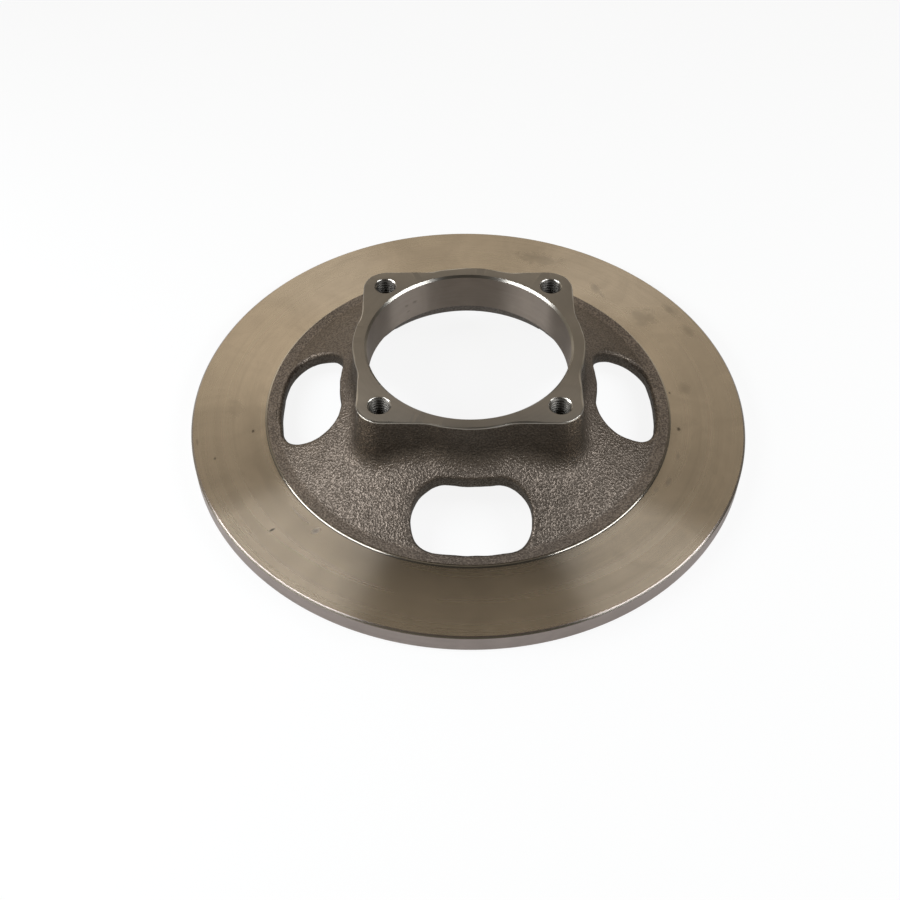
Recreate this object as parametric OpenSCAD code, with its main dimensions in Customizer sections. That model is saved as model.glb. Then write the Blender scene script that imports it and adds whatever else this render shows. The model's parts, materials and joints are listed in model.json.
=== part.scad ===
// A solid brake disc, cast in one piece and then machined. A conical web joins the flat friction
// ring to a raised hub, which is a rounded square with a round boss bulging past its flats. The web
// has a cored window in front of each flat, and the hub has a bore and a thread in each corner.
// The frame: +Z is the axis of the bore, the lower friction face lies in z = 0, and the flats of
// the hub face along X and Y.

/* [Friction ring] */
// Outer diameter of the ring
ring_outer_d = 260; // [230:1:320]
// Diameter at which the turned upper face ends in the raw casting
ring_face_d = 191.2; // [190:0.2:200]
// How much further in the ring reaches on its lower side
ring_lower_reach = 1.9; // [0:0.1:4]
// Thickness over both friction faces
ring_t = 9.5; // [8:0.1:14]
// Chamfer on the edges of the ring
ring_chamfer = 0.8; // [0.4:0.1:1.5]
// Radius that the turning tool leaves at the end of the upper face
tool_r = 1.2; // [0.4:0.1:1.6]

/* [Web] */
// Height of the raw casting over the turned upper face
cast_stand = 1.1; // [0.6:0.1:2]
// Step from the lower friction face to the raw web
web_step = 1.3; // [0.8:0.1:2]
// Width of the level land between the turned edge and the rising web
web_land = 5; // [3:0.1:6]
// Radius of the hollow where the web begins to rise
web_foot_r = 8; // [2:0.5:10]
// Angle at which the web's upper side rises toward the hub
web_rise_top = 29; // [24:0.5:33]
// Angle at which the web's lower side rises toward the hub
web_rise_low = 27; // [22:0.5:30]

/* [Windows] */
// Length of a window across the web
window_length = 54; // [46:0.2:60]
// Width of web left between the hub's boss and a window
window_hub_land = 7.2; // [7:0.1:9]
// Width left between a window and the turned edge
window_ring_land = 6.4; // [5:0.1:8]
// Radius of a window's corners as a share of its width from hub to ring
window_corner_share = 0.456; // [0.3:0.002:0.48]
// Radius of the cast edges round a window
window_edge_r = 2; // [1:0.1:2.4]

/* [Hub] */
// Height of the hub's machined face above the lower friction face
hub_height = 49.6; // [46:0.2:60]
// Distance across the flats of the hub
hub_across = 98; // [96:0.5:101]
// Radius of the hub's corners
hub_corner_r = 11; // [8:0.5:14]
// How far the round boss bulges past the flats
hub_bulge = 3.3; // [2:0.1:5]
// Radius of the hollow that blends the boss into a flat
hub_blend_r = 20; // [14:1:26]
// Draft of the hub's cast sides
hub_draft = 3; // [1:0.5:5]
// Length over which the hub's foot blends into the web
hub_fillet = 7; // [4:0.5:8]

/* [Bore] */
// Diameter of the machined bore
bore_d = 92.2; // [84:0.2:94]
// Chamfer at the upper end of the bore
bore_chamfer = 1; // [0.5:0.1:1.5]
// How much wider than the bore the cast mouth is where it meets the web's lower side
mouth_reach = 5.7; // [3:0.1:8]
// Angle between the mouth's wall and the axis
mouth_angle = 34.3; // [28:0.1:50]

/* [Threaded holes] */
// Diameter of the circle that the holes lie on
hole_circle_d = 110; // [108:0.5:114]
// Diameter that is drilled for the thread
hole_drill_d = 8.5; // [6.8:0.1:9]
// Diameter of the countersink at the hub's face
hole_sink_d = 10.5; // [9.2:0.1:12]

/* [Hidden] */
ring_r = ring_outer_d / 2;
face_r = ring_face_d / 2;
step_r = face_r - tool_r;
rim_r = face_r - ring_lower_reach;
land_z = ring_t + cast_stand;
knee_r = step_r - web_land;
flat = hub_across / 2;
boss_r = flat + hub_bulge;
bore_r = bore_d / 2;
mouth_r = bore_r + mouth_reach;
corner = flat - hub_corner_r;
// The ring's inner chamfers take no more than this share of the step that they are cut on
step_share = 0.8;
inner_chamfer = min(ring_chamfer, step_share * web_step);
// How far a cut runs past the face that it opens, and how far one blank runs into another
past = 1;
// How far the wall of a window's cutter runs straight on past a cast edge, in parts of its last facet
run_on = 0.3;
// Facets across a window's cast edge, the hub's foot, the web's foot and the tool's radius
edge_facets = 5;
foot_facets = 6;
knee_facets = 4;
tool_facets = 6;
// Facets along each part of the hub's outline: a half corner, a flat, a blend and the boss
corner_steps = 5;
flat_steps = 4;
blend_steps = 3;
boss_steps = 8;
// Facets along each part of a window's outline: its two arcs round the axis, a corner and a side
inner_steps = 6;
outer_steps = 8;
round_steps = 7;
side_steps = 2;
// Rounds in which the foot of the hub's drafted side settles on the sloping web
foot_rounds = 6;
iron = "#6f665d";
$fn = 96;

// Heights of the web's two sides at a distance from the axis. The upper side is level beside the
// ring, then turns through a hollow into the rising cone, and its fall is its slope at that place.
knee_end = knee_r + web_foot_r * tan(web_rise_top / 2);
function in_knee(r) = knee_end - r < web_foot_r * sin(web_rise_top);
function knee_rise(x) = sqrt(web_foot_r * web_foot_r - x * x);
function top_z(r) =
    r >= knee_end ? land_z
    : in_knee(r) ? land_z + web_foot_r - knee_rise(knee_end - r)
    : land_z + tan(web_rise_top) * (knee_r - r);
function top_fall(r) =
    r >= knee_end ? 0
    : in_knee(r) ? (knee_end - r) / knee_rise(knee_end - r)
    : tan(web_rise_top);
function low_z(r) = web_step + tan(web_rise_low) * (rim_r - r);

// An outline is a list of stations: a point in plan and the direction that faces out of it there
function arc(centre, r, from, to, steps, facing = 1) =
    [for (i = [0 : steps - 1])
        let (a = from + (to - from) * i / steps, out = [cos(a), sin(a)])
        [centre + r * out, facing * out]];

function line(a, b, facing, steps) =
    [for (i = [0 : steps - 1]) [a + (b - a) * i / steps, facing]];

function turned(v, a) = [v[0] * cos(a) - v[1] * sin(a), v[0] * sin(a) + v[1] * cos(a)];

// The hub's outline, one side after the other: half a corner, flat, hollow, boss, and back again
blend_x = sqrt(pow(boss_r + hub_blend_r, 2) - pow(flat + hub_blend_r, 2));
blend_angle = atan(blend_x / (flat + hub_blend_r));
hub_side = concat(
    arc([corner, corner], hub_corner_r, 45, 90, corner_steps),
    line([corner, flat], [blend_x, flat], [0, 1], flat_steps),
    arc([blend_x, flat + hub_blend_r], hub_blend_r, -90, -90 - blend_angle, blend_steps, -1),
    arc([0, 0], boss_r, 90 - blend_angle, 90 + blend_angle, boss_steps),
    arc([-blend_x, flat + hub_blend_r], hub_blend_r, blend_angle - 90, -90, blend_steps, -1),
    line([-blend_x, flat], [-corner, flat], [0, 1], flat_steps),
    arc([-corner, corner], hub_corner_r, 90, 135, corner_steps));
hub_outline = [for (a = [0 : 90 : 270]) for (s = hub_side) [turned(s[0], a), turned(s[1], a)]];

// A window's outline: two arcs round the axis, joined by straight sides with round corners
window_in = boss_r + window_hub_land;
window_out = step_r - window_ring_land;
window_half = window_length / 2;
window_corner_r = window_corner_share * (window_out - window_in);
corner_x = window_half - window_corner_r;
function corner_centre(reach) = [corner_x, sqrt(reach * reach - corner_x * corner_x)];
inner_centre = corner_centre(window_in + window_corner_r);
outer_centre = corner_centre(window_out - window_corner_r);
inner_turn = atan(inner_centre[1] / inner_centre[0]);
outer_turn = atan(outer_centre[1] / outer_centre[0]);
function flipped(v) = [-v[0], v[1]];
window_outline = concat(
    arc([0, 0], window_in, 180 - inner_turn, inner_turn, inner_steps, -1),
    arc(inner_centre, window_corner_r, inner_turn - 180, 0, round_steps),
    line([window_half, inner_centre[1]], [window_half, outer_centre[1]], [1, 0], side_steps),
    arc(outer_centre, window_corner_r, 0, outer_turn, round_steps),
    arc([0, 0], window_out, outer_turn, 180 - outer_turn, outer_steps),
    arc(flipped(outer_centre), window_corner_r, 180 - outer_turn, 180, round_steps),
    line([-window_half, outer_centre[1]], [-window_half, inner_centre[1]], [-1, 0], side_steps),
    arc(flipped(inner_centre), window_corner_r, 180, 360 - inner_turn, round_steps));

// A true arc between two tangents of one length, which run from a to k and from k to e
function rounded(a, k, e, steps) =
    let (w = norm((a - k) / norm(a - k) - (e - k) / norm(e - k)) / 2)
    [for (i = [0 : steps])
        let (t = i / steps, p = (1 - t) * (1 - t), q = 2 * w * t * (1 - t), s = t * t)
        (p * a + q * k + s * e) / (p + q + s)];

// A closed body through a ring of profiles, each a list of points from the top down
module skin(profiles) {
    n = len(profiles);
    m = len(profiles[0]);
    top = [for (i = [0 : n - 1]) 1 / n] * [for (p = profiles) p[0]];
    foot = [for (i = [0 : n - 1]) 1 / n] * [for (p = profiles) p[m - 1]];
    bands = [for (i = [0 : n - 1]) for (j = [0 : m - 2])
        let (a = i * m + j, b = (i + 1) % n * m + j)
        each [[a, b, b + 1], [a, b + 1, a + 1]]];
    caps = [for (i = [0 : n - 1])
        let (a = i * m, b = (i + 1) % n * m)
        each [[a, n * m, b], [a + m - 1, b + m - 1, n * m + 1]]];
    polyhedron(concat([for (p = profiles) each p], [top, foot]), concat(bands, caps));
}

// A profile drawn as distances out of a station and heights becomes points in space
function placed(station, profile) =
    [for (q = profile) [each station[0] + q[0] * station[1], q[1]]];

// The cast body: drafted sides, a blend at their foot, and the web's upper side into the ring
function side_d(z) = (hub_height - z) * tan(hub_draft);
function foot_z(station, z, tries) =
    tries > 0 ? foot_z(station, top_z(norm(station[0] + side_d(z) * station[1])), tries - 1) : z;

function body_profile(station) =
    let (z = foot_z(station, ring_t, foot_rounds),
        foot = [side_d(z), z],
        up = [side_d(z + hub_fillet * cos(hub_draft)), z + hub_fillet * cos(hub_draft)],
        out_d = foot[0] + hub_fillet * cos(web_rise_top),
        out = station[0] + out_d * station[1],
        knee = [for (i = [knee_facets : -1 : 0])
            knee_end - web_foot_r * sin(web_rise_top * i / knee_facets)],
        root_r = face_r + past)
    concat(
        placed(station, [[0, hub_height]]),
        placed(station, rounded(up, foot, [out_d, top_z(norm(out))], foot_facets)),
        [for (r = concat(knee, [root_r])) [each r * out / norm(out), top_z(r)]],
        [[each root_r * out / norm(out), web_step / 2]]);

module cast_body() {
    skin([for (s = hub_outline) body_profile(s)]);
}

// A window's walls, opened at both ends by the radius of the cast edge, which lies against the web
function edge_side(bend) = window_edge_r / tan((90 + bend) / 2);

function window_profile(station) =
    let (r = norm(station[0]),
        lean = station[0] * station[1] / r,
        top_bend = -atan(lean * top_fall(r + lean * window_edge_r)),
        low_bend = atan(lean * tan(web_rise_low)),
        up = edge_side(top_bend),
        down = edge_side(low_bend),
        up_end = [up * cos(top_bend), top_z(norm(station[0] + up * cos(top_bend) * station[1]))],
        low_end = [down * cos(low_bend), low_z(norm(station[0] + down * cos(low_bend) * station[1]))],
        up_corner = [0, up_end[1] - up * sin(top_bend)],
        low_corner = [0, low_end[1] + down * sin(low_bend)],
        upper = rounded(up_end, up_corner, up_corner - [0, up], edge_facets),
        lower = rounded(low_corner + [0, down], low_corner, low_end, edge_facets),
        lead_in = upper[0] + run_on * (upper[0] - upper[1]),
        lead_out = lower[edge_facets] + run_on * (lower[edge_facets] - lower[edge_facets - 1]))
    placed(station, concat(
        [[lead_in[0], hub_height + past], lead_in],
        [for (i = [1 : edge_facets]) upper[i]],
        [for (i = [0 : edge_facets - 1]) lower[i]],
        [lead_out, [lead_out[0], -past]]));

module windows() {
    for (a = [0 : 90 : 270])
        rotate(a)
            skin([for (s = window_outline) window_profile(s)]);
}

// The hollow under the web, the cast mouth, the machined bore and its chamfer, in one turn
module hollow() {
    mouth_z = low_z(mouth_r) + (mouth_r - bore_r) / tan(mouth_angle);
    rotate_extrude()
        polygon([
            [0, -past],
            [rim_r + inner_chamfer + past, -past],
            [rim_r, inner_chamfer],
            [rim_r, low_z(rim_r)],
            [mouth_r, low_z(mouth_r)],
            [bore_r, mouth_z],
            [bore_r, hub_height - bore_chamfer],
            [bore_r + bore_chamfer + past, hub_height + past],
            [0, hub_height + past]]);
}

// Drilled and countersunk holes in the hub's corners, whose threads have no form of their own here
module threaded_holes() {
    sink = (hole_sink_d - hole_drill_d) / 2;
    for (a = [45 : 90 : 315])
        rotate(a)
            translate([hole_circle_d / 2, 0, 0]) {
                cylinder(h = hub_height, d = hole_drill_d);
                translate([0, 0, hub_height - sink])
                    cylinder(h = sink + past, d1 = hole_drill_d, d2 = hole_sink_d + 2 * past);
            }
}

// The raw ring, which still stands proud of its upper face
module ring_blank() {
    raw = cast_stand / 2;
    rotate_extrude()
        polygon([
            [rim_r - past, 0],
            [ring_r - ring_chamfer, 0],
            [ring_r, ring_chamfer],
            [ring_r, ring_t - ring_chamfer],
            [ring_r - ring_chamfer - raw, ring_t + raw],
            [rim_r - past, ring_t + raw]]);
}

// What the turning tool takes off to face the ring, with its own radius at the inner end
module facing_cut() {
    rotate_extrude()
        polygon(concat(
            [[ring_r + past, land_z + past], [step_r, land_z + past]],
            [for (s = arc([face_r, ring_t + tool_r], tool_r, 180, 270, tool_facets)) s[0]],
            [[face_r, ring_t], [ring_r + past, ring_t]]));
}

module brake_disc() {
    color(iron)
        difference() {
            union() {
                ring_blank();
                cast_body();
            }
            facing_cut();
            hollow();
            windows();
            threaded_holes();
        }
}

brake_disc();
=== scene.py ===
# %% [markdown]
# # A solid brake disc
# The disc is one iron casting that a lathe has finished. Its web, its hub's sides and the four
# windows keep the rough skin of the sand mould, while the friction ring, the hub's face and the
# bore are bright turned metal. So this lesson makes it the way a foundry and a machine shop do:
# first the rough blanks, then one cut after the other, each with the finish that it leaves behind.

# %% The frame
import json
import math

import bmesh
import bpy
import numpy as np
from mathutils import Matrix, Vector, noise

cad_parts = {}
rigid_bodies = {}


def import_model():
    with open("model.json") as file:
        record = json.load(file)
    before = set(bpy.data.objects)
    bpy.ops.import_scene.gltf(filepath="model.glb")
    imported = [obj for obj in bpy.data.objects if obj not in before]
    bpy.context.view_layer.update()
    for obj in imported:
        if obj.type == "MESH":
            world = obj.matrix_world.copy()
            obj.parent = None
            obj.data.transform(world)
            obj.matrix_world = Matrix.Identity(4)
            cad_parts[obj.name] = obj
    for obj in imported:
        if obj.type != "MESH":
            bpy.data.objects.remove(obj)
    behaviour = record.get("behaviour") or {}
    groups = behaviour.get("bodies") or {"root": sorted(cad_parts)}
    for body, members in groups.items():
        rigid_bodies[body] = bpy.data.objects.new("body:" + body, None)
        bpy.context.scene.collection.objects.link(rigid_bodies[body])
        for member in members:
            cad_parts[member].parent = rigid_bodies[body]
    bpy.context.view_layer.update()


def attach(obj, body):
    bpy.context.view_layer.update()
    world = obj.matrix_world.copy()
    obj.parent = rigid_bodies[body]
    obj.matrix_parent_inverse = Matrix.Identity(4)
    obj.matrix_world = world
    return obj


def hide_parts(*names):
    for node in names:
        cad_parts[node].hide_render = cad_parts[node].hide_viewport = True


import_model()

# %% [markdown]
# ## Sizes
# Every number here is a size of the real disc in millimetres, measured from the lower friction
# face (z = 0) and from the axis of the bore. Blender works in metres, so a mesh is scaled once,
# when it is made. Keeping the drawing's own unit makes the numbers easy to compare with a caliper.

# %% Sizes of the disc in millimetres
MM = 0.001
ring_r, ring_t, ring_chamfer = 130.0, 9.5, 0.8
face_r, tool_r = 95.6, 1.2
step_r = face_r - tool_r
rim_r, inner_chamfer, web_step = 93.7, 0.8, 1.3
land_z, land_width, hollow_r = 10.6, 5.0, 4.0
rise_top, rise_low = math.radians(29), math.radians(27)
knee_r = step_r - land_width
knee_end = knee_r + hollow_r * math.tan(rise_top / 2)
hub_z, flat, corner_r, boss_r, blend_r = 49.6, 49.0, 11.0, 52.3, 20.0
draft, hub_fillet = math.radians(3), 7.0
bore_r, bore_chamfer, mouth_r, mouth_angle = 46.1, 1.0, 51.8, math.radians(34.3)
holes_r, drill_d, thread_d, sink_d, pitch = 55.0, 8.5, 10.0, 10.5, 1.5
window_in, window_out, window_corner, lip_r = boss_r + 7.2, step_r - 6.4, 13.0, 2.0
print("the upper friction face is", ring_r - ring_chamfer - face_r, "mm wide")

# %% [markdown]
# ## The camera
# The disc's outer edge, its bore and the circle of the four holes are true circles, so their
# ellipses in a picture give the camera's place and focal length. The camera stands in front of the
# disc and looks down at it by 48 degrees. It comes first, because everything else is judged by it.

# %% Camera
scene = bpy.context.scene
camera_data = bpy.data.cameras.new("camera")
camera_data.sensor_width = 36
camera_data.lens = 48.09965
camera_data.clip_start = 0.01
camera = bpy.data.objects.new("camera", camera_data)
camera.location = (-0.0084761, -0.3947921, 0.421598)
camera.rotation_euler = [math.radians(a) for a in (41.61631, -0.02989, 0.03365)]
scene.collection.objects.link(camera)
scene.camera = camera
scene.view_settings.view_transform = "Standard"
print("camera", round(camera.location.length, 3), "m from the disc's axis")

# %% [markdown]
# ## Nodes by script
# Materials and Geometry Nodes are both networks, and a script that makes many nodes gets long
# unless two small helpers do the repeated work: one adds a node and fills its sockets, the other
# makes a shader group with named inputs and outputs that several materials can share.

# %% Helpers for nodes
def add(tree, kind, settings=None, **sockets):
    """A new node. Sockets go by name, or by number as in i0.

    A socket's value is a number, a colour, or another node's output to link.
    """
    node = tree.nodes.new(kind)
    for name, value in (settings or {}).items():
        setattr(node, name, value)
    for key, value in sockets.items():
        number = key[1:]
        socket = node.inputs[int(number) if number.isdigit() else key.replace("_", " ")]
        if isinstance(value, bpy.types.NodeSocket):
            tree.links.new(value, socket)
        else:
            socket.default_value = value
    return node


def maths(tree, operation, a, b=0.0, c=0.0, clamp=False):
    return add(tree, "ShaderNodeMath", {"operation": operation, "use_clamp": clamp},
               i0=a, i1=b, i2=c).outputs[0]


def smooth(tree, value, low, high, to_low=0.0, to_high=1.0):
    """The value between low and high becomes a soft ramp from to_low to to_high."""
    return add(tree, "ShaderNodeMapRange", {"interpolation_type": "SMOOTHSTEP"}, Value=value,
               From_Min=low, From_Max=high, To_Min=to_low, To_Max=to_high).outputs["Result"]


def shader_group(name, inputs, outputs):
    tree = bpy.data.node_groups.new(name, "ShaderNodeTree")
    for label, kind, value in inputs:
        socket = tree.interface.new_socket(label, in_out="INPUT", socket_type="NodeSocket" + kind)
        if value is not None:
            socket.default_value = value
    for label, kind in outputs:
        tree.interface.new_socket(label, in_out="OUTPUT", socket_type="NodeSocket" + kind)
    return tree, tree.nodes.new("NodeGroupInput").outputs, tree.nodes.new("NodeGroupOutput").inputs


def use_group(tree, group, **sockets):
    return add(tree, "ShaderNodeGroup", {"node_tree": group}, **sockets).outputs


# %% [markdown]
# ## Lathe marks
# A tool that cuts a turning disc leaves one long spiral groove. Seen close, its tracks are fine
# lines round the axis, some brighter and some duller. Noise gives such lines when it is squeezed:
# it changes fast from track to track, and hardly at all along one. The unit direction from the
# axis stands for the angle here, so that the pattern closes without a seam. Tracks are single
# grooves, and Bands are stripes five times as broad.

# %% Group: lathe marks
def vector_maths(tree, operation, **sockets):
    return add(tree, "ShaderNodeVectorMath", {"operation": operation}, **sockets).outputs


def object_mm(tree):
    """The shaded point in the part's own frame, in millimetres."""
    place = add(tree, "ShaderNodeTexCoord").outputs["Object"]
    return vector_maths(tree, "SCALE", i0=place, Scale=1000.0)[0]


lathe_marks, given, result = shader_group(
    "lathe_marks",
    [("Track", "Float", 0.4), ("Along", "Float", 2.0)],
    [("Tracks", "Float"), ("Bands", "Float")])
part = add(lathe_marks, "ShaderNodeSeparateXYZ", Vector=object_mm(lathe_marks)).outputs
plan = add(lathe_marks, "ShaderNodeCombineXYZ", X=part[0], Y=part[1]).outputs[0]
radius = vector_maths(lathe_marks, "LENGTH", i0=plan)["Value"]
unit = vector_maths(lathe_marks, "NORMALIZE", i0=plan)[0]
height_share = 1.37  # lets the tracks also change up a wall, where the radius stays the same
across = maths(lathe_marks, "MULTIPLY_ADD", part[2], height_share, radius)
around = vector_maths(lathe_marks, "SCALE", i0=unit, Scale=given["Along"])[0]
around_part = add(lathe_marks, "ShaderNodeSeparateXYZ", Vector=around).outputs
for output, share in (("Tracks", 1.0), ("Bands", 5.0)):
    width = maths(lathe_marks, "MULTIPLY", given["Track"], share)
    place = add(lathe_marks, "ShaderNodeCombineXYZ", X=around_part[0], Y=around_part[1],
                Z=maths(lathe_marks, "DIVIDE", across, width))
    grain = add(lathe_marks, "ShaderNodeTexNoise", Vector=place.outputs[0], Scale=1.0, Detail=1.0)
    lathe_marks.links.new(grain.outputs[0], result[output])
print("group", lathe_marks.name, "has", len(lathe_marks.nodes), "nodes")

# %% [markdown]
# ## Stains
# Bare iron that has been handled and stored gets faint darker patches. Each is an uneven spot at
# one place, so the group takes the place, the size and the turn of one spot, and noise frays it.
# The spot is an ellipsoid in space, so it can lie on a level face as well as on the bore's wall.

# %% Group: one stain
stain, given, result = shader_group(
    "stain",
    [("Centre", "Vector", (0, 0, 0)), ("Size", "Vector", (5, 5, 5)), ("Turn", "Vector", (0, 0, 0)),
     ("Fray", "Float", 0.5)],
    [("Mask", "Float")])
mm = object_mm(stain)
away = add(stain, "ShaderNodeMapping", {"vector_type": "TEXTURE"}, Vector=mm,
           Location=given["Centre"], Rotation=given["Turn"], Scale=given["Size"]).outputs[0]
reach = vector_maths(stain, "LENGTH", i0=away)["Value"]
fray = add(stain, "ShaderNodeTexNoise", Vector=mm, Scale=0.35, Detail=4.0).outputs[0]
edge = maths(stain, "MULTIPLY_ADD", maths(stain, "SUBTRACT", fray, 0.5), given["Fray"], reach)
stain.links.new(smooth(stain, edge, 0.1, 1.0, 1.0, 0.0), result["Mask"])
print("group", stain.name, "has", len(stain.nodes), "nodes")

# %% [markdown]
# ## The skin of a sand casting
# Iron poured into sand copies the grains, and shot that cleans it afterwards closes them again to
# small rounded bumps of a little under a millimetre. Each one shows a glint when it faces a lamp.
# Two sizes of noise make bumps that are never even, and a slow third one varies the tone.

# %% Group: cast skin
cast_skin, given, result = shader_group(
    "cast_skin",
    [("Grain", "Float", 0.8)],
    [("Height", "Float"), ("Pits", "Float"), ("Tone", "Float")])
mm = object_mm(cast_skin)
fine = maths(cast_skin, "DIVIDE", 1.0, given["Grain"])
bumps = add(cast_skin, "ShaderNodeTexNoise", Vector=mm, Scale=fine, Detail=1.0, Roughness=0.5)
pebbles = add(cast_skin, "ShaderNodeTexVoronoi", {"feature": "SMOOTH_F1"}, Vector=mm,
              Scale=maths(cast_skin, "MULTIPLY", fine, 1.1), Smoothness=0.6)
rolling = add(cast_skin, "ShaderNodeTexNoise", Vector=mm, Scale=0.16, Detail=3.0)
height = maths(cast_skin, "MULTIPLY_ADD", pebbles.outputs["Distance"], -0.55, bumps.outputs[0])
cast_skin.links.new(height, result["Height"])
cast_skin.links.new(smooth(cast_skin, height, 0.32, 0.12), result["Pits"])
cast_skin.links.new(rolling.outputs[0], result["Tone"])
print("group", cast_skin.name, "has", len(cast_skin.nodes), "nodes")

# %% [markdown]
# ## Turned iron
# Light on a turned face stretches across the tracks, which gives the well known bright sectors.
# The Principled shader does this with Anisotropic: its tangent runs along the tracks, round the
# axis, and a quarter turn of Anisotropic Rotation stretches the gloss across them. Every cut has
# its own feed and tool, so the finishes differ in tone, gloss, stretch, width of track and stains,
# and one function makes them all. It mixes clouds, bands and tracks to one tone, dull to bright.

# %% Function: a turned finish
def blank_material(name):
    material = bpy.data.materials.new(name)
    material.use_nodes = True
    tree = material.node_tree
    shader = tree.nodes["Principled BSDF"]
    return material, tree, shader


def colour_mix(tree, factor, a, b, blend="MIX"):
    node = add(tree, "ShaderNodeMix", {"data_type": "RGBA", "blend_type": blend})
    for socket, value in ((node.inputs[0], factor), (node.inputs[6], a), (node.inputs[7], b)):
        if isinstance(value, bpy.types.NodeSocket):
            tree.links.new(value, socket)
        else:
            socket.default_value = value if socket.type == "VALUE" else (*value, 1.0)
    return node.outputs[2]


cloud_share, band_share, track_share = 0.6, 0.2, 0.2


def turned_material(name, bright, dull, rough, stretch, track, depth, stains=(), wander=2.0):
    """Track and depth are in mm. Wander is how often the marks change on their way round."""
    material, tree, shader = blank_material(name)
    mm = object_mm(tree)
    shader.inputs["Metallic"].default_value = 1.0
    shader.inputs["Anisotropic"].default_value = stretch
    shader.inputs["Anisotropic Rotation"].default_value = 0.25
    tangent = vector_maths(tree, "CROSS_PRODUCT", i0=(0, 0, 1), i1=mm)[0]
    tree.links.new(tangent, shader.inputs["Tangent"])
    marks = use_group(tree, lathe_marks, Track=track, Along=wander)
    cloud = add(tree, "ShaderNodeTexNoise", Vector=mm, Scale=0.04, Detail=3.0, Roughness=0.6,
                Distortion=1.2).outputs[0]
    tone = maths(tree, "MULTIPLY_ADD", marks["Bands"], band_share,
                 maths(tree, "MULTIPLY", cloud, cloud_share))
    tone = maths(tree, "MULTIPLY_ADD", marks["Tracks"], track_share, tone)
    colour = colour_mix(tree, smooth(tree, tone, 0.3, 0.7), dull, bright)
    shine = maths(tree, "MULTIPLY_ADD", marks["Bands"], 0.03, rough - 0.015)
    for centre, size, turn, fray, strength, tint in stains:
        spot = use_group(tree, stain, Centre=centre, Size=size,
                         Turn=(0, 0, math.radians(turn)), Fray=fray)["Mask"]
        colour = colour_mix(tree, maths(tree, "MULTIPLY", spot, strength), colour, tint)
        shine = maths(tree, "MULTIPLY_ADD", spot, 0.1 * strength, shine)
    tree.links.new(colour, shader.inputs["Base Color"])
    tree.links.new(shine, shader.inputs["Roughness"])
    bump = add(tree, "ShaderNodeBump", Height=marks["Bands"], Strength=1.0, Distance=depth * MM)
    tree.links.new(bump.outputs[0], shader.inputs["Normal"])
    return material


# %% [markdown]
# ## Marks from use
# Each row is one mark: its centre, its half sizes, its turn in degrees, how frayed it is, how
# strong, and its tint. The rows of the ring give only a place and a size in plan. A half height
# of 50 mm makes those marks into columns, so that only their shape in plan counts.

# %% Marks on the ring and in the bore
smudge, oil, nick = (0.30, 0.25, 0.20), (0.2, 0.18, 0.18), (0.07, 0.06, 0.05)
flat_marks = [
    ((67, 84), (3, 6), 10, 0.8, 0.4, smudge), ((70, 79), (1, 4), 25, 0.5, 0.35, smudge),
    ((89, 62), (8, 10), 30, 1.5, 0.28, smudge), ((104, 67), (3.5, 8), 35, 1.2, 0.35, smudge),
    ((111, 52), (3.5, 6), 30, 1.2, 0.28, smudge), ((104, 11), (4, 5), 0, 1.0, 0.3, smudge),
    ((98, -15.5), (1.3, 1.8), 0, 0.4, 0.8, nick), ((96.6, 8), (0.8, 1.2), 0, 0.3, 0.7, nick),
    ((95.6, -32.3), (1.5, 4), -15, 0.9, 0.35, oil), ((89.2, -47.8), (1.5, 4), -25, 0.9, 0.35, oil),
    ((83.3, -52.4), (1.2, 3), -30, 0.9, 0.3, oil),
    ((-110, -2), (5, 8), 15, 1.4, 0.2, smudge), ((-100, -17), (1.0, 1.5), 0, 0.4, 0.8, nick),
    ((-115.5, -34), (0.9, 1.2), 0, 0.4, 0.7, nick), ((-125, -24), (1.0, 3), 10, 0.5, 0.5, smudge),
    ((-85.5, -75.1), (2.4, 0.9), 35, 0.5, 1.0, nick),
    ((-66.4, -75.6), (2.4, 1.6), 30, 0.8, 0.7, oil),
    ((-74, -67), (9, 0.8), -48, 0.6, 0.35, oil), ((39, 108), (16, 6), -15, 1.5, 0.25, smudge)]
half_height = 50
ring_marks = [((*centre, ring_t), (*size, half_height), *rest)
              for centre, size, *rest in flat_marks]
bore_marks = [
    ((-25.1, 38.7, 40), (1.8, 1.8, 1.3), 0, 1.6, 0.5, nick),
    ((-29.0, 35.8, 40), (1.6, 1.6, 1.0), 0, 1.4, 0.4, nick),
    ((-28.4, 36.3, 36), (1.4, 1.4, 0.9), 0, 1.2, 0.4, nick)]
print(len(ring_marks), "marks on the ring and", len(bore_marks), "in the bore")

# %% One finish for each cut
turned_iron = turned_material(
    "turned_iron", (0.66, 0.556, 0.437), (0.55, 0.463, 0.364), rough=0.27, stretch=1.0,
    track=0.7, depth=0.0003, stains=ring_marks, wander=0.7)
tool_radius = turned_material(
    "tool_radius", (0.42, 0.38, 0.33), (0.38, 0.345, 0.30), rough=0.2, stretch=0.9,
    track=0.3, depth=0.0005)
turned_rim = turned_material(
    "turned_rim", (0.46, 0.39, 0.357), (0.39, 0.33, 0.30), rough=0.32, stretch=0.9,
    track=0.3, depth=0.003)
faced_iron = turned_material(
    "faced_iron", (0.29, 0.254, 0.214), (0.25, 0.219, 0.184), rough=0.57, stretch=0.4,
    track=0.25, depth=0.002)
bored_iron = turned_material(
    "bored_iron", (0.40, 0.338, 0.287), (0.33, 0.279, 0.237), rough=0.31, stretch=1.0,
    track=0.25, depth=0.002, stains=bore_marks)
chamfered_iron = turned_material(
    "chamfered_iron", (0.35, 0.325, 0.29), (0.31, 0.288, 0.257), rough=0.28, stretch=0.7,
    track=0.2, depth=0.001)
# painted shade: the thread's base colour is kept dark, so that the deep holes look shaded
tapped_iron_and_shade = turned_material(
    "tapped_iron_and_shade", (0.16, 0.147, 0.13), (0.11, 0.1, 0.09), rough=0.42, stretch=0.0,
    track=0.3, depth=0.001)
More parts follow.
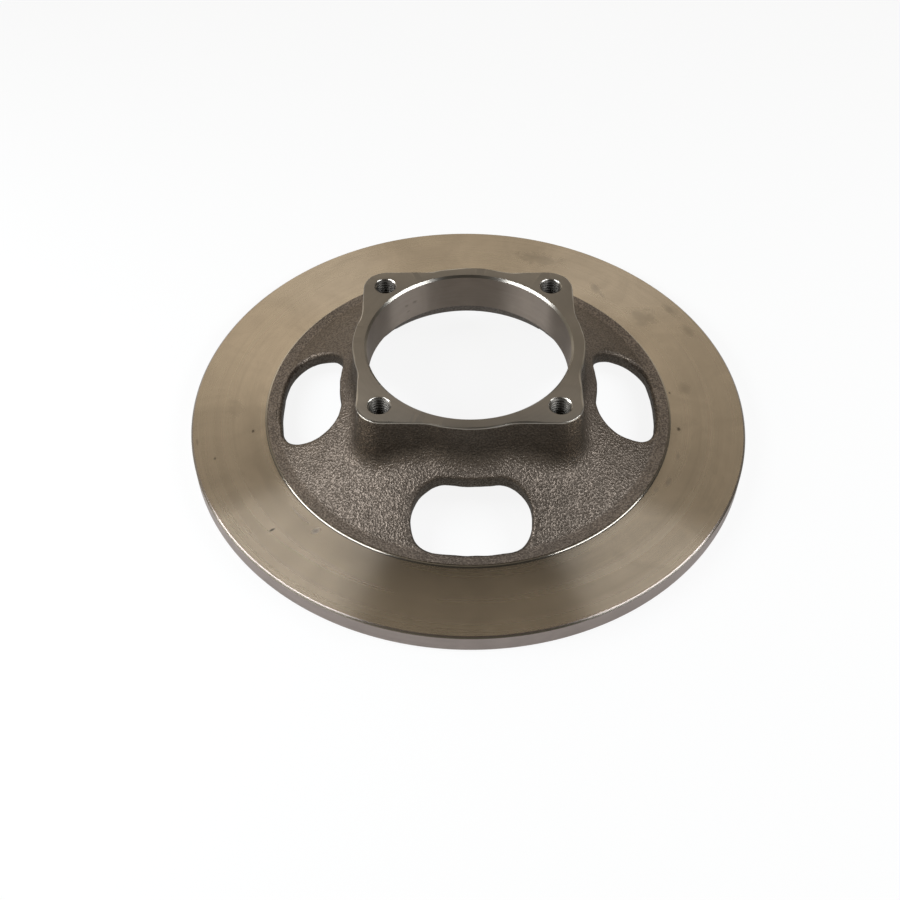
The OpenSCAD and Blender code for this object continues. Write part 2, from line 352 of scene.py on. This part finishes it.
countersunk_iron = turned_material(
    "countersunk_iron", (0.45, 0.42, 0.38), (0.38, 0.35, 0.315), rough=0.28, stretch=0.6,
    track=0.3, depth=0.001)
worn_edge = turned_material(
    "worn_edge", (0.5, 0.46, 0.41), (0.4, 0.37, 0.33), rough=0.28, stretch=0.0,
    track=0.4, depth=0.002)
print([m.name for m in bpy.data.materials])

# %% [markdown]
# ## Cast iron
# The cast skin is dark in the pits and grey brown on the bumps. It is metal, but so rough that
# mostly the glints show it. Level faces are given a lighter colour, which is painted light, and a
# duller gloss, while the steep walls of the hub and the windows are given a darker colour, which is
# painted shade. The normal's height tells steep from level: it is 1 on a level face and 0 on a
# wall.

# %% Cast finish
cast_iron, tree, shader = blank_material("cast_iron")
shader.inputs["Metallic"].default_value = 1.0
skin = use_group(tree, cast_skin, Grain=0.9)
normal = add(tree, "ShaderNodeTexCoord").outputs["Normal"]
facing = add(tree, "ShaderNodeSeparateXYZ", Vector=normal).outputs[2]
# painted shade: the steeper a face, the more of the dark colour it gets, up to a share of 0.3
wall_painted_shade = smooth(tree, maths(tree, "ABSOLUTE", facing), 0.75, 0.2, 0.0, 0.3)
level = smooth(tree, facing, 0.9, 0.985)
tone = colour_mix(tree, smooth(tree, skin["Tone"], 0.35, 0.65),
                  (0.172, 0.142, 0.117), (0.2, 0.164, 0.135))
tone = colour_mix(tree, maths(tree, "MULTIPLY", skin["Pits"], 0.55), tone, (0.075, 0.06, 0.048))
# painted light: level faces get a colour up to 1.55 times lighter
level_painted_light = maths(tree, "MULTIPLY_ADD", level, 0.55, 1.0)
level_painted_light = add(tree, "ShaderNodeCombineXYZ", X=level_painted_light, Y=level_painted_light, Z=level_painted_light).outputs[0]
tone = colour_mix(tree, 1.0, tone, level_painted_light, "MULTIPLY")
# painted shade on the steep walls
tone = colour_mix(tree, wall_painted_shade, tone, (0.052, 0.053, 0.043))
duller = maths(tree, "MULTIPLY_ADD", level, 0.2,
               maths(tree, "MULTIPLY_ADD", skin["Pits"], 0.15, 0.43))
bump = add(tree, "ShaderNodeBump", Height=skin["Height"], Strength=1.0, Distance=0.36 * MM)
for output, name in ((tone, "Base Color"), (duller, "Roughness"), (bump.outputs[0], "Normal")):
    tree.links.new(output, shader.inputs[name])
print("cast_iron has", len(tree.nodes), "nodes")

# %% [markdown]
# ## Solids from rows of points
# Two makers cover every blank and every cutter. A lofted body is a ring of profiles, closed at both
# ends by a fan. A turned body is one profile carried round the axis. Both fill a grid of points, so
# one function makes the mesh, and it can give each row of faces its own material.

# %% Helper: a closed grid of points becomes a mesh
def grid_body(name, points, materials, row_slots=None, closed=False):
    """points[i, j] in mm: i goes round, j down the profile.

    closed joins the profile's last row to its first.
    """
    n, m, _ = points.shape
    vertices = [tuple(p) for p in (points.reshape(-1, 3) * MM)]
    faces, slots = [], []
    for i in range(n):
        k = (i + 1) % n
        for j in range(m if closed else m - 1):
            l = (j + 1) % m
            faces.append((i * m + j, i * m + l, k * m + l, k * m + j))
            slots.append(row_slots[j] if row_slots else 0)
    if not closed:
        for j in (0, m - 1):
            vertices.append(tuple(points[:, j].mean(axis=0) * MM))
            centre = len(vertices) - 1
            for i in range(n):
                faces.append((i * m + j, (i + 1) % n * m + j, centre))
                slots.append(row_slots[j - (j > 0)] if row_slots else 0)
    mesh = bpy.data.meshes.new(name)
    mesh.from_pydata(vertices, [], faces)
    mesh.polygons.foreach_set("material_index", slots)
    for material in materials:
        mesh.materials.append(material)
    body = bmesh.new()
    body.from_mesh(mesh)
    bmesh.ops.recalc_face_normals(body, faces=body.faces)
    body.to_mesh(mesh)
    body.free()
    obj = bpy.data.objects.new(name, mesh)
    scene.collection.objects.link(obj)
    return obj


def turned_body(name, profile, materials, row_slots=None, closed=False, around=360):
    """profile is a list of (radius, height) in mm."""
    a = np.linspace(0, 2 * math.pi, around, endpoint=False)
    p = np.array(profile)
    grid = np.empty((around, len(p), 3))
    grid[..., 0] = np.cos(a)[:, None] * p[:, 0]
    grid[..., 1] = np.sin(a)[:, None] * p[:, 0]
    grid[..., 2] = p[:, 1]
    return grid_body(name, grid, materials, row_slots, closed)


# %% [markdown]
# ## Outlines
# The hub's outline and the windows' outlines are chains of arcs and lines. At each of their points
# the solid also needs to know which way is out, so a station is a point and that direction.

# %% Helpers: arcs, lines and true round corners
def arc(centre, r, start, end, steps, facing=1):
    stations = []
    for i in range(steps):
        a = math.radians(start + (end - start) * i / steps)
        out = np.array([math.cos(a), math.sin(a)])
        stations.append((np.array(centre) + r * out, facing * out))
    return stations


def line(a, b, facing, steps):
    a, b = np.array(a, float), np.array(b, float)
    return [(a + (b - a) * i / steps, np.array(facing, float)) for i in range(steps)]


def rounded(a, k, e, steps):
    """Points of the true arc whose two tangents of one length run from a to k and from k to e."""
    a, k, e = (np.array(v, float) for v in (a, k, e))
    w = np.linalg.norm((a - k) / np.linalg.norm(a - k) - (e - k) / np.linalg.norm(e - k)) / 2
    points = []
    for i in range(steps + 1):
        t = i / steps
        p, q, s = (1 - t) ** 2, 2 * w * t * (1 - t), t * t
        points.append((p * a + q * k + s * e) / (p + q + s))
    return points


# %% [markdown]
# ## The web's two sides
# Beside the ring the raw casting is level, and it stands a millimetre over the turned face. Then
# it turns through a hollow into a cone that climbs to the hub. The lower side is a plain cone.

# %% Heights of the web
def top_z(r):
    x = knee_end - r
    if x <= 0:
        return land_z
    if x < hollow_r * math.sin(rise_top):
        return land_z + hollow_r - math.sqrt(hollow_r ** 2 - x * x)
    return land_z + math.tan(rise_top) * (knee_r - r)


def top_fall(r):
    x = knee_end - r
    if x <= 0:
        return 0.0
    if x < hollow_r * math.sin(rise_top):
        return x / math.sqrt(hollow_r ** 2 - x * x)
    return math.tan(rise_top)


def low_z(r):
    return web_step + math.tan(rise_low) * (rim_r - r)


print("the web rises from", land_z, "to", round(top_z(boss_r), 1), "mm at the hub")

# %% [markdown]
# ## Uneven like a casting
# No cast surface is true. Noise from mathutils is the same in every run, and moving each point
# along its normal by a tenth of a millimetre or two gives the slow waves that catch the light.

# %% Helper: slow waves in a cast surface
def cast_waves(obj, waves, offset):
    """waves is a list of (length, height) in mm. offset shifts the noise for each piece."""
    mesh = obj.data
    shift = Vector((offset, 7.3 * offset, 3.1 * offset))
    for vertex in mesh.vertices:
        place = vertex.co / MM
        move = sum(noise.noise(place / length + shift) * height for length, height in waves)
        vertex.co += vertex.normal * (move * MM)
    mesh.update()


# %% [markdown]
# ## Blank one: the ring
# The ring is poured thicker than it ends up, and its upper face is turned down later. Use has
# dulled the upper outer edge, so a flatter facet follows the chamfer.

# %% The ring's blank
raw = 0.55  # what the facing cut takes off
dulled_in, dulled_down, blank_in = 0.58, 0.22, 1.86  # the facet's line, from the ring's corner
ring_blank = turned_body(
    "ring_blank",
    [(rim_r - 1, 0), (ring_r - ring_chamfer, 0), (ring_r, ring_chamfer),
     (ring_r, ring_t - ring_chamfer), (ring_r - dulled_in, ring_t - dulled_down),
     (ring_r - blank_in, ring_t + raw), (rim_r - 1, ring_t + raw)],
    [turned_iron, turned_rim, tool_radius], [0, 1, 1, 2, 1, 0, 0], closed=True)
print("ring blank:", len(ring_blank.data.polygons), "faces")

# %% [markdown]
# ## Blank two: web and hub
# One profile runs from the hub's top down its drafted side, round the foot and out over the web.
# It is drawn at each station of the hub's outline, a square with round corners whose flats bulge
# into a boss. Near the top the profile leans in, because the sharp edge of the hub is broken. The
# height of the foot depends on its radius and the radius on its height, so a few rounds settle it.

# %% The cast body
broken_edge = [(-2, 0.4), (-0.5, 0), (-0.28, -0.06), (-0.1, -0.2), (-0.01, -0.42)]  # out, up
edge_height = 0.65
blend_x = math.sqrt((boss_r + blend_r) ** 2 - (flat + blend_r) ** 2)
blend_angle = math.degrees(math.atan(blend_x / (flat + blend_r)))
corner = flat - corner_r
hub_side = (
    arc((corner, corner), corner_r, 45, 90, 10)
    + line((corner, flat), (blend_x, flat), (0, 1), 7)
    + arc((blend_x, flat + blend_r), blend_r, -90, -90 - blend_angle, 6, -1)
    + arc((0, 0), boss_r, 90 - blend_angle, 90 + blend_angle, 20)
    + arc((-blend_x, flat + blend_r), blend_r, blend_angle - 90, -90, 6, -1)
    + line((-blend_x, flat), (-corner, flat), (0, 1), 7)
    + arc((-corner, corner), corner_r, 90, 135, 10))


def side_d(z):
    return (hub_z - z) * math.tan(draft)


def body_profile(point, out):
    def at(d, z):
        return (*(point + d * out), z)

    z = ring_t
    for _ in range(8):
        z = top_z(np.linalg.norm(point + side_d(z) * out))
    foot = np.array([side_d(z), z])
    up_z = z + hub_fillet * math.cos(draft)
    far_d = foot[0] + hub_fillet * math.cos(rise_top)
    far = point + far_d * out
    far_r = np.linalg.norm(far)
    raw_top = [at(d, hub_z + h) for d, h in broken_edge]
    side = [at(side_d(h), h) for h in np.linspace(hub_z - edge_height, up_z, 9)[:-1]]
    foot_arc = [at(d, h)
                for d, h in rounded((side_d(up_z), up_z), foot, (far_d, top_z(far_r)), 10)]
    radii = list(np.linspace(far_r, knee_end - hollow_r * math.sin(rise_top), 12)[1:])
    radii += [knee_end - hollow_r * math.sin(rise_top * i / 8) for i in range(7, -1, -1)]
    radii += list(np.linspace(knee_end, face_r + 1, 5)[1:])
    web = [(*(far / far_r * r), top_z(r)) for r in radii]
    root = [(*(far / far_r * (face_r + 1)), web_step / 2)]
    return raw_top + side + foot_arc + web + root


stations = []
for quarter in range(4):
    turn = np.array([[0, -1], [1, 0]])
    matrix = np.linalg.matrix_power(turn, quarter)
    stations += [(matrix @ p, matrix @ out) for p, out in hub_side]
profiles = np.array([body_profile(p, out) for p, out in stations])
edge_rows = len(broken_edge)
cast_body = grid_body("cast_body", profiles, [cast_iron, worn_edge],
                      [1] * edge_rows + [0] * (profiles.shape[1] - 1 - edge_rows))
cast_waves(cast_body, [(14, 0.22), (5, 0.09)], 1.0)
print("cast body:", len(stations), "stations,", len(cast_body.data.polygons), "faces")

# %% [markdown]
# ## The cores of the windows
# A window is where a sand core stood in the mould. Its outline is made of arcs round the disc's
# axis and round corners, and each wall opens into the web with a rounded cast edge. A core never
# sits quite true, so the windows differ by about a millimetre in length and place. Each window has
# a row of its own: half its length, its shift along that length, how much further out its inner
# and outer walls stand, and the radii of its two inner corners.

# %% The window cutters
def window_outline(half, shift, near, far, right_corner, left_corner):
    def centre(reach, corner, side):
        x = half - corner
        return np.array([side * x, math.sqrt(reach * reach - x * x)])

    right_in = centre(near + right_corner, right_corner, 1)
    left_in = centre(near + left_corner, left_corner, -1)
    right_out, left_out = (centre(far - window_corner, window_corner, side) for side in (1, -1))
    right_a, left_a, outer_a = (math.degrees(math.atan2(p[1], p[0]))
                                for p in (right_in, left_in, right_out))
    chain = (
        arc((0, 0), near, left_a, right_a, 16, -1)
        + arc(right_in, right_corner, right_a - 180, 0, 14)
        + line((half, right_in[1]), (half, right_out[1]), (1, 0), 3)
        + arc(right_out, window_corner, 0, outer_a, 14)
        + arc((0, 0), far, outer_a, 180 - outer_a, 18)
        + arc(left_out, window_corner, 180 - outer_a, 180, 14)
        + line((-half, left_out[1]), (-half, left_in[1]), (-1, 0), 3)
        + arc(left_in, left_corner, 180, 180 + left_a, 14))
    return [(p + np.array([shift, 0]), out) for p, out in chain]


def window_profile(point, out):
    r = np.linalg.norm(point)
    lean = point @ out / r
    top_bend = -math.atan(lean * top_fall(r + lean * lip_r))
    low_bend = math.atan(lean * math.tan(rise_low))
    up = lip_r / math.tan((math.pi / 2 + top_bend) / 2)
    down = lip_r / math.tan((math.pi / 2 + low_bend) / 2)
    up_d, low_d = up * math.cos(top_bend), down * math.cos(low_bend)
    up_end = np.array([up_d, top_z(np.linalg.norm(point + up_d * out))])
    low_end = np.array([low_d, low_z(np.linalg.norm(point + low_d * out))])
    up_corner = np.array([0, up_end[1] - up * math.sin(top_bend)])
    low_corner = np.array([0, low_end[1] + down * math.sin(low_bend)])
    upper = rounded(up_end, up_corner, up_corner - [0, up], 10)
    lower = rounded(low_corner + [0, down], low_corner, low_end, 10)
    wall = [upper[-1] + (lower[0] - upper[-1]) * i / 5 for i in range(1, 5)]
    lead_in = upper[0] + 0.9 * (upper[0] - upper[1])
    lead_out = lower[-1] + 0.9 * (lower[-1] - lower[-2])
    rows = [[lead_in[0], hub_z + 1], lead_in, *upper, *wall, *lower, lead_out, [lead_out[0], -1]]
    return [(*(point + d * out), z) for d, z in rows]


window_cutters = []
cores = [
    (27.0, 0.0, 0.0, 0.0, 13, 13),
    (27.4, -1.4, 0.0, -0.6, 17, 13),
    (26.3, -0.7, 0.9, 0.7, 14, 13),
    (26.8, 0.4, 0.0, -0.2, 13, 16)]
for number, (half, shift, inner, outer, right, left) in enumerate(cores):
    a = math.pi / 2 * number
    turn = np.array([[math.cos(a), -math.sin(a), 0], [math.sin(a), math.cos(a), 0], [0, 0, 1]])
    outline = window_outline(half, shift, window_in + inner, window_out + outer, right, left)
    points = np.array([window_profile(p, out) for p, out in outline])
    cutter = grid_body(f"window_core_{number}", points @ turn.T, [cast_iron])
    cast_waves(cutter, [(9, 0.3), (3.5, 0.14)], 5.0 + number)
    window_cutters.append(cutter)
print(len(window_cutters), "window cores of", len(points), "profiles each")

# %% [markdown]
# ## What the lathe takes off
# The facing cut ends in the raw casting with the round nose of the tool, so the friction face
# climbs into the land through a small polished hollow. A second cut makes the hub's face. The
# third body is the hollow under the web, then the cast mouth, the bore and its chamfer, in one.

# %% The turned cutters
nose = [(p[0], p[1]) for p, _ in arc((face_r, ring_t + tool_r), tool_r, 180, 270, 12)]
shaded_nose = 4  # segments of the hollow given the cast finish, whose dark steep faces paint a shade line at the step
# painted shade: the upper rows of the hollow carry the cast finish, which darkens them to a thin
# dark line
facing_cut = turned_body(
    "facing_cut",
    [(ring_r + 2, land_z + 2), (step_r, land_z + 2), *nose, (face_r, ring_t), (ring_r + 2, ring_t)],
    [turned_iron, tool_radius, cast_iron],
    [0] + [2] * (shaded_nose + 1) + [1] * (len(nose) - shaded_nose) + [0] * 2, closed=True)
hub_cut = turned_body("hub_cut", [(75, hub_z), (75, hub_z + 5)], [faced_iron], around=96)
mouth_z = low_z(mouth_r) + (mouth_r - bore_r) / math.tan(mouth_angle)
under = [(r, low_z(r)) for r in np.linspace(rim_r, mouth_r, 22)]
mouth = [(mouth_r + (bore_r - mouth_r) * i / 5, low_z(mouth_r) + (mouth_z - low_z(mouth_r)) * i / 5)
         for i in range(1, 6)]
profile = ([(rim_r + inner_chamfer + 1, -1), (rim_r, inner_chamfer)] + under + mouth
           + [(bore_r, hub_z - bore_chamfer), (bore_r + bore_chamfer + 1, hub_z + 1)])
rough_rows = len(under) - 1 + len(mouth)
hollow_cut = turned_body(
    "hollow_cut", profile, [turned_iron, cast_iron, bored_iron, chamfered_iron],
    [0, 0] + [1] * rough_rows + [2] * (len(profile) - 4 - rough_rows) + [3, 3])
print("bore from z =", round(mouth_z, 1), "to", hub_z - bore_chamfer, "mm")

# %% [markdown]
# ## Threads by Geometry Nodes
# A thread is a cylinder whose radius rises and falls along a helix, and the four holes are equal.
# That is a rule that repeats, so Geometry Nodes make it: Cylinder gives the rows, twelve to a
# pitch, Set Position pushes each point out by its phase on the helix or on the countersink's cone,
# and Instance on Points sets four of them on their circle. The inputs are the sizes on a drawing.

# %% The thread's node tree
threads_tree = bpy.data.node_groups.new("threaded_holes", "GeometryNodeTree")
threads_tree.interface.new_socket("Geometry", in_out="OUTPUT", socket_type="NodeSocketGeometry")
thread_inputs = {
    "Drilled radius": drill_d / 2 * MM, "Thread depth": (thread_d - drill_d) / 2 * MM,
    "Pitch": pitch * MM, "Countersink radius": sink_d / 2 * MM,
    "Length": 34 * MM, "Over the face": 1 * MM,
    "Hub face": hub_z * MM, "Circle radius": holes_r * MM}
for label, value in thread_inputs.items():
    socket = threads_tree.interface.new_socket(label, in_out="INPUT",
                                               socket_type="NodeSocketFloat")
    socket.default_value = value
for label in ("Thread finish", "Countersink finish"):
    threads_tree.interface.new_socket(label, in_out="INPUT", socket_type="NodeSocketMaterial")
size = threads_tree.nodes.new("NodeGroupInput").outputs
rod = add(threads_tree, "GeometryNodeMeshCylinder", {"fill_type": "NGON"}, Vertices=44,
          Side_Segments=272, Radius=size["Drilled radius"], Depth=size["Length"]).outputs[0]
place = add(threads_tree, "ShaderNodeSeparateXYZ",
            Vector=add(threads_tree, "GeometryNodeInputPosition").outputs[0]).outputs
angle = maths(threads_tree, "ARCTAN2", place[1], place[0])
turns = maths(threads_tree, "DIVIDE", angle, 2 * math.pi)
climb = maths(threads_tree, "DIVIDE", place[2], size["Pitch"])
steps = maths(threads_tree, "SUBTRACT", climb, turns)
phase = maths(threads_tree, "FRACT", steps)
wave = maths(threads_tree, "ABSOLUTE", maths(threads_tree, "MULTIPLY_ADD", phase, 2.0, -1.0))
crest_flat, flank = 0.22, 0.58  # shares of half a pitch
tooth = maths(threads_tree, "DIVIDE", maths(threads_tree, "SUBTRACT", wave, crest_flat), flank,
              clamp=True)
thread_r = maths(threads_tree, "MULTIPLY_ADD", tooth, size["Thread depth"], size["Drilled radius"])
top = maths(threads_tree, "SUBTRACT", maths(threads_tree, "MULTIPLY", size["Length"], 0.5),
            size["Over the face"])
sink_r = maths(threads_tree, "ADD", size["Countersink radius"],
               maths(threads_tree, "SUBTRACT", place[2], top))
wall_r = maths(threads_tree, "MAXIMUM", thread_r, sink_r)
swell = maths(threads_tree, "DIVIDE", wall_r, size["Drilled radius"])
moved = add(threads_tree, "ShaderNodeCombineXYZ",
            X=maths(threads_tree, "MULTIPLY", place[0], swell),
            Y=maths(threads_tree, "MULTIPLY", place[1], swell), Z=place[2]).outputs[0]
screw = add(threads_tree, "GeometryNodeSetPosition", Geometry=rod, Position=moved).outputs[0]
tapped = add(threads_tree, "GeometryNodeSetMaterial", Geometry=screw,
             Material=size["Thread finish"]).outputs[0]
on_cone = maths(threads_tree, "GREATER_THAN", sink_r, thread_r)
screw = add(threads_tree, "GeometryNodeSetMaterial", Geometry=tapped, Selection=on_cone,
            Material=size["Countersink finish"]).outputs[0]
circle = add(threads_tree, "GeometryNodeMeshCircle", Vertices=4,
             Radius=size["Circle radius"]).outputs[0]
lift = maths(threads_tree, "SUBTRACT", size["Hub face"], top)
seat = add(threads_tree, "ShaderNodeCombineXYZ", Z=lift).outputs[0]
corners = add(threads_tree, "GeometryNodeTransform", Geometry=circle, Translation=seat,
              Rotation=(0, 0, math.pi / 4)).outputs[0]
placed = add(threads_tree, "GeometryNodeInstanceOnPoints", Points=corners,
             Instance=screw).outputs[0]
real = add(threads_tree, "GeometryNodeRealizeInstances", Geometry=placed).outputs[0]
threads_tree.links.new(real, threads_tree.nodes.new("NodeGroupOutput").inputs[0])
print("thread tree has", len(threads_tree.nodes), "nodes")

# %% The thread cutters as a plain mesh
def mesh_from_nodes(name, tree, values):
    """Runs a tree on an empty mesh and returns the result as a plain object without a modifier."""
    holder = bpy.data.objects.new(name, bpy.data.meshes.new(name))
    scene.collection.objects.link(holder)
    modifier = holder.modifiers.new("nodes", "NODES")
    modifier.node_group = tree
    for item in tree.interface.items_tree:
        if item.in_out == "INPUT" and item.name in values:
            modifier[item.identifier] = values[item.name]
    graph = bpy.context.evaluated_depsgraph_get()
    made = bpy.data.meshes.new_from_object(holder.evaluated_get(graph))
    holder.modifiers.clear()
    holder.data = made
    return holder


thread_inputs.update({"Thread finish": tapped_iron_and_shade, "Countersink finish": countersunk_iron})
thread_cutters = mesh_from_nodes("thread_cutters", threads_tree, thread_inputs)
print("thread cutters:", len(thread_cutters.data.polygons), "faces")

# %% [markdown]
# ## Machining
# Boolean modifiers do the shop's work in its order: the two blanks are joined, and each cutter is
# taken off. Every cutter brings its own material, which stays on the faces that it leaves.

# %% The disc is joined and cut
cutters = [facing_cut, hub_cut, hollow_cut, *window_cutters, thread_cutters]
for operation, tool in [("UNION", cast_body)] + [("DIFFERENCE", cutter) for cutter in cutters]:
    step = ring_blank.modifiers.new(tool.name, "BOOLEAN")
    step.operation, step.object = operation, tool
    step.solver = "MANIFOLD"
    step.material_mode = "TRANSFER"
graph = bpy.context.evaluated_depsgraph_get()
disc_mesh = bpy.data.meshes.new_from_object(ring_blank.evaluated_get(graph))
for used in (ring_blank, cast_body, *cutters):
    bpy.data.objects.remove(used)
print("disc:", len(disc_mesh.polygons), "faces,", [m.name for m in disc_mesh.materials])

# %% Clean edges and smooth faces
body = bmesh.new()
body.from_mesh(disc_mesh)
bmesh.ops.remove_doubles(body, verts=body.verts, dist=0.002 * MM)
bmesh.ops.dissolve_degenerate(body, edges=body.edges, dist=0.001 * MM)
bmesh.ops.triangulate(body, faces=body.faces)
odd_edges = sum(1 for e in body.edges if not e.is_manifold)  # where a stray sliver still hangs
body.to_mesh(disc_mesh)
body.free()
disc_mesh.name = "iron_disc"
disc_mesh.shade_smooth()
disc_mesh.set_sharp_from_angle(angle=math.radians(30))
iron_disc = bpy.data.objects.new("iron_disc", disc_mesh)
scene.collection.objects.link(iron_disc)
print("disc:", len(disc_mesh.polygons), "triangles,", odd_edges, "edges don't join two faces")

# %% [markdown]
# ## The studio
# Two soft lamps stand left and right of the disc, each turned in its own plane. They make the
# bright sectors on the ring and the bright arcs on the bore's edge. The set behind the disc is
# bright, and the set over it and behind the camera is dim, which darkens the ring's front. The
# set is also brighter on the left. The camera sees plain white instead of it. The floor is white
# to the camera and takes only a faint shadow, and the metal sees a quarter of that white.

# %% Lamps
def soft_lamp(name, azimuth, elevation, distance, size, roll, power):
    """Angles in degrees, distance and size in metres, power in watts. It faces the disc."""
    data = bpy.data.lights.new(name, "AREA")
    data.shape, data.size, data.size_y, data.energy = "RECTANGLE", *size, power
    data.color = (0.9, 0.95, 1.0)
    lamp = bpy.data.objects.new(name, data)
    a, e = math.radians(azimuth), math.radians(elevation)
    way = Vector((math.cos(a) * math.cos(e), math.sin(a) * math.cos(e), math.sin(e)))
    lamp.location = way * distance
    lamp.rotation_euler = (-lamp.location).to_track_quat("-Z", "Y").to_euler()
    lamp.rotation_euler.rotate_axis("Z", math.radians(roll))
    scene.collection.objects.link(lamp)


soft_lamp("lamp_left", 195, 41, 0.61, (0.50, 0.12), 32, 2.65)
soft_lamp("lamp_right", -17, 41, 0.88, (0.60, 0.18), -32, 4.1)

# %% World
world = bpy.data.worlds.new("studio")
world.use_nodes = True
scene.world = world
tree = world.node_tree
direction = add(tree, "ShaderNodeTexCoord").outputs["Generated"]
way = add(tree, "ShaderNodeSeparateXYZ", Vector=direction).outputs
front = colour_mix(tree, smooth(tree, way[2], 0.38, 0.78),
                   (0.31, 0.285, 0.24), (0.066, 0.061, 0.052))
back = colour_mix(tree, smooth(tree, way[2], -0.1, 0.4),
                  (0.6, 0.552, 0.467), (1.04, 0.957, 0.81))
room = colour_mix(tree, smooth(tree, way[1], 0.59, 0.8), front, back)
slope = maths(tree, "MULTIPLY_ADD", way[0], -0.5, 1.0)
slope = add(tree, "ShaderNodeCombineXYZ", X=slope, Y=slope, Z=slope).outputs[0]
room = colour_mix(tree, 1.0, room, slope, "MULTIPLY")
seen = add(tree, "ShaderNodeLightPath").outputs["Is Camera Ray"]
tree.links.new(colour_mix(tree, seen, room, (1, 1, 1)), tree.nodes["Background"].inputs["Color"])
print("world ready")

# %% Floor
floor_mesh = bpy.data.meshes.new("floor")
floor_half, floor_z = 4.0, -1e-4  # just under the disc, so that the two faces don't fight
sides = [(-1, -1), (1, -1), (1, 1), (-1, 1)]
floor_mesh.from_pydata([(x * floor_half, y * floor_half, floor_z) for x, y in sides],
                       [], [(0, 1, 2, 3)])
floor = bpy.data.objects.new("floor", floor_mesh)
scene.collection.objects.link(floor)
paper, tree, shader = blank_material("paper")
shader.inputs["Base Color"].default_value = (0.55, 0.55, 0.55, 1)
shader.inputs["Roughness"].default_value = 0.9
path = add(tree, "ShaderNodeLightPath").outputs
metal_share = 0.25
lit = maths(tree, "MAXIMUM", path["Is Camera Ray"],
            maths(tree, "MULTIPLY", path["Is Glossy Ray"], metal_share))
shade = add(tree, "ShaderNodeBsdfDiffuse", Color=(0.12, 0.12, 0.12, 1)).outputs[0]
glow = add(tree, "ShaderNodeEmission", Color=(1, 1, 1, 1), Strength=0.88).outputs[0]
white = add(tree, "ShaderNodeAddShader", i0=shade, i1=glow).outputs[0]
mixed = add(tree, "ShaderNodeMixShader", i0=lit, i1=shader.outputs[0], i2=white).outputs[0]
tree.links.new(mixed, tree.nodes["Material Output"].inputs["Surface"])
floor_mesh.materials.append(paper)
print("floor ready")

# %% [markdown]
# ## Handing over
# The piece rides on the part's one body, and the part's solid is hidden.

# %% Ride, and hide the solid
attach(iron_disc, "root")
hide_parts("brake_disc")
